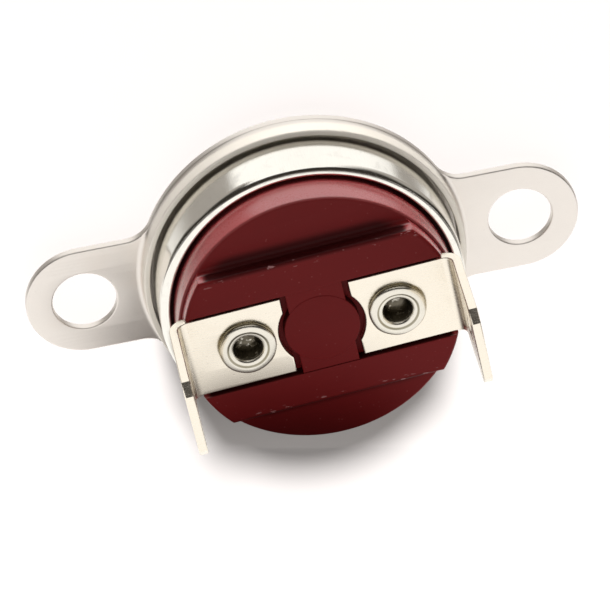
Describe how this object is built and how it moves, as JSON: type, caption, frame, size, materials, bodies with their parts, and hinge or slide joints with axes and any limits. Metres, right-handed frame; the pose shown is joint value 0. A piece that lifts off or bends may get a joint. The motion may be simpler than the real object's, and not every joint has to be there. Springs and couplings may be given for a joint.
{
  "type": "bimetal limit switch",
  "caption": "Round bimetal limit switch with an aluminium sensing cup, a dark red moulded body, upright blade terminals and a loose bracket with two ears.",
  "frame": {"origin": "centre of the flat sensing face, which is also the lowest face", "axes": "+Z along the switch axis, from the sensing face towards the terminals' tips; +X through the centres of both ear holes; +Y completes the right-handed frame"},
  "size_m": [0.0304, 0.0176, 0.0144],
  "materials": {
    "cup_aluminium": "bright drawn sheet",
    "bracket_steel": "satin plated sheet",
    "body_phenolic": "moulded, semi-gloss dark red",
    "terminal_tinned": "tinned, satin",
    "rivet_nickelled": "nickelled, satin",
    "spring_bronze": "rolled strip",
    "contact_silver": "polished silver",
    "carrier_brass": "stamped strip",
    "pin_ceramic": "matt fired",
    "guide_phenolic": "moulded, matt dark brown",
    "disc_bimetal": "rolled, satin"
  },
  "bodies": {
    "housing": {"sensing_cup": "cup_aluminium", "switch_body": "body_phenolic", "fixed_terminal": "terminal_tinned", "moving_terminal": "terminal_tinned", "fixed_rivet": "rivet_nickelled", "moving_rivet": "rivet_nickelled", "fixed_contact": "contact_silver", "contact_carrier": "carrier_brass", "pin_guide": "guide_phenolic", "snap_disc": "disc_bimetal"},
    "bracket": {"mounting_bracket": "bracket_steel"},
    "pin": {"transfer_pin": "pin_ceramic"},
    "arm": {"contact_spring": "spring_bronze", "moving_contact": "contact_silver"}
  },
  "joints": [
    {"name": "bracket_swivel", "type": "hinge", "parent": "housing", "child": "bracket", "pos_m": [0, 0, 0.00168], "axis": [0, 0, 1], "continuous": true},
    {"name": "pin_travel", "type": "slide", "parent": "housing", "child": "pin", "axis": [0, 0, 1], "range_m": [0, 0.00035], "deforming": ["snap_disc"]},
    {"name": "arm_flex", "type": "hinge", "parent": "housing", "child": "arm", "pos_m": [-0.00264, -0.00018, 0.00635], "axis": [0.0698, -0.9976, 0], "range_deg": [0, 8], "deforming": ["contact_spring"]}
  ],
  "couplings": [
    {"joint": "arm_flex", "follows": "pin_travel", "rad_per_m": 377.36}
  ]
}
